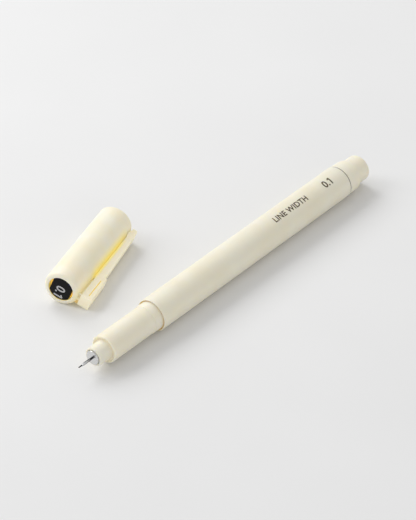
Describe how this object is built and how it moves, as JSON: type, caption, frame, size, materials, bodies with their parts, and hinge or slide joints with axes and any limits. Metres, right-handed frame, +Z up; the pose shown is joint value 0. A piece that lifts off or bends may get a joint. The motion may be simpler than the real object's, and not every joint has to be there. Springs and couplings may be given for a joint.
{
  "type": "technical pen",
  "caption": "Disposable needle-point technical drawing pen with its push-on clip cap lying beside it.",
  "frame": {"origin": "on the pen's axis, halfway along the straight barrel", "axes": "+X along the pen's axis towards its tail, +Y towards the side the cap lies on, +Z up from the table the pen lies on"},
  "size_m": [0.1347, 0.0505, 0.0114],
  "materials": {
    "barrel_cream": "moulded, satin gloss",
    "section_cream": "moulded, satin gloss",
    "tail_cream": "moulded, satin gloss",
    "cap_cream": "moulded, satin gloss",
    "clip_cream": "moulded, satin gloss",
    "inner_cap_plastic": "moulded, translucent natural",
    "badge_black": "moulded, matte black",
    "stainless": "turned, satin",
    "needle_steel": "drawn tube, satin",
    "nib_dark": "ground acrylic rod, ink-stained",
    "wick_fibre": "bonded fibre",
    "sleeve_plastic": "moulded natural",
    "reservoir_fibre": "ink-soaked fibre",
    "clear_film": "thin wrapped film"
  },
  "bodies": {
    "pen": {"barrel": "barrel_cream", "front_section": "section_cream", "nib_holder": "stainless", "needle_tube": "needle_steel", "nib": "nib_dark", "feed_wick": "wick_fibre", "wick_sleeve": "sleeve_plastic", "ink_reservoir": "reservoir_fibre", "reservoir_film": "clear_film", "tail_plug": "tail_cream"},
    "cap": {"cap_shell": "cap_cream", "inner_cap": "inner_cap_plastic", "badge_plug": "badge_black"},
    "clip": {"clip": "clip_cream"}
  },
  "joints": [
    {"name": "cap_pull", "type": "slide", "parent": "pen", "child": "cap", "axis": [-0.9632, -0.2689, 0], "range_m": [0, 0.035]},
    {"name": "clip_flex", "type": "hinge", "parent": "cap", "child": "clip", "pos_m": [-0.05113, 0.02387, -0.00202], "axis": [-0.099, 0.3547, -0.9297], "range_deg": [0, 2.5], "stiffness_Nm_per_rad": 0.02}
  ]
}
